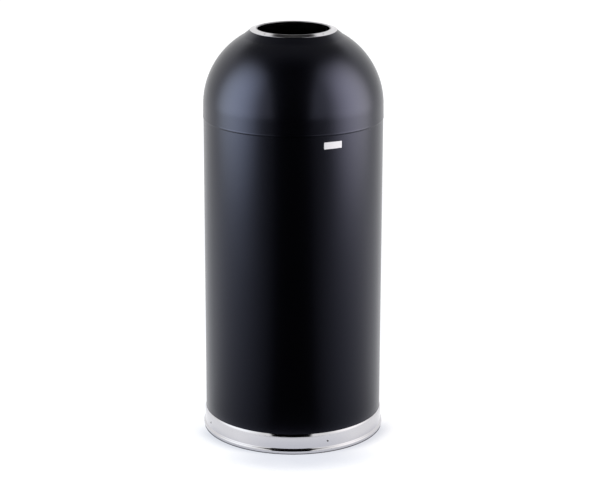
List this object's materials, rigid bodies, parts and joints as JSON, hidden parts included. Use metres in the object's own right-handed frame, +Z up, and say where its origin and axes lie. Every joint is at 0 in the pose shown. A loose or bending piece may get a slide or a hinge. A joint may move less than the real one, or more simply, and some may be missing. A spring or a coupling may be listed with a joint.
{
  "type": "open-top trash can",
  "caption": "Free-standing round steel trash can with a lift-off dome, a trimmed round opening in its top, a bright base ring and a lift-out liner with a bail handle.",
  "frame": {"origin": "on the floor under the middle of the can", "axes": "+Z up along the can's axis, -Y towards the front with the small plate, +X to the can's right hand ear of the bail"},
  "size_m": [0.3916, 0.3916, 0.879],
  "materials": {
    "black_coat": "satin black powder coat on sheet steel",
    "bright_trim": "polished and plated sheet steel",
    "floor_rubber": "moulded black rubber",
    "galvanised": "hot-dip galvanised, with a fine spangle",
    "grip_plastic": "moulded black plastic",
    "badge_white": "plain white enamel"
  },
  "bodies": {
    "can": {"body_shell": "black_coat", "neck_collar": "black_coat", "base_ring": "bright_trim", "floor_ring": "floor_rubber", "base_plate": "black_coat", "base_rivets": "bright_trim"},
    "liner": {"liner_wall": "galvanised", "liner_bottom": "galvanised", "rim_wire": "galvanised", "bail_ear_right": "galvanised", "bail_ear_left": "galvanised", "ear_rivets": "galvanised"},
    "bail": {"bail_wire": "galvanised", "bail_grip": "grip_plastic"},
    "dome": {"dome_shell": "black_coat", "opening_ring": "bright_trim", "ring_rivets": "bright_trim"}
  },
  "joints": [
    {"name": "liner_lift", "type": "slide", "parent": "can", "child": "liner", "axis": [0, 0, 1], "range_m": [0, 0.7]},
    {"name": "dome_lift", "type": "slide", "parent": "liner", "child": "dome", "axis": [0, 0, 1], "range_m": [0, 0.3]},
    {"name": "bail_swing", "type": "hinge", "parent": "liner", "child": "bail", "pos_m": [0, 0, 0.61721], "axis": [1, 0, 0], "range_deg": [0, 154]}
  ]
}
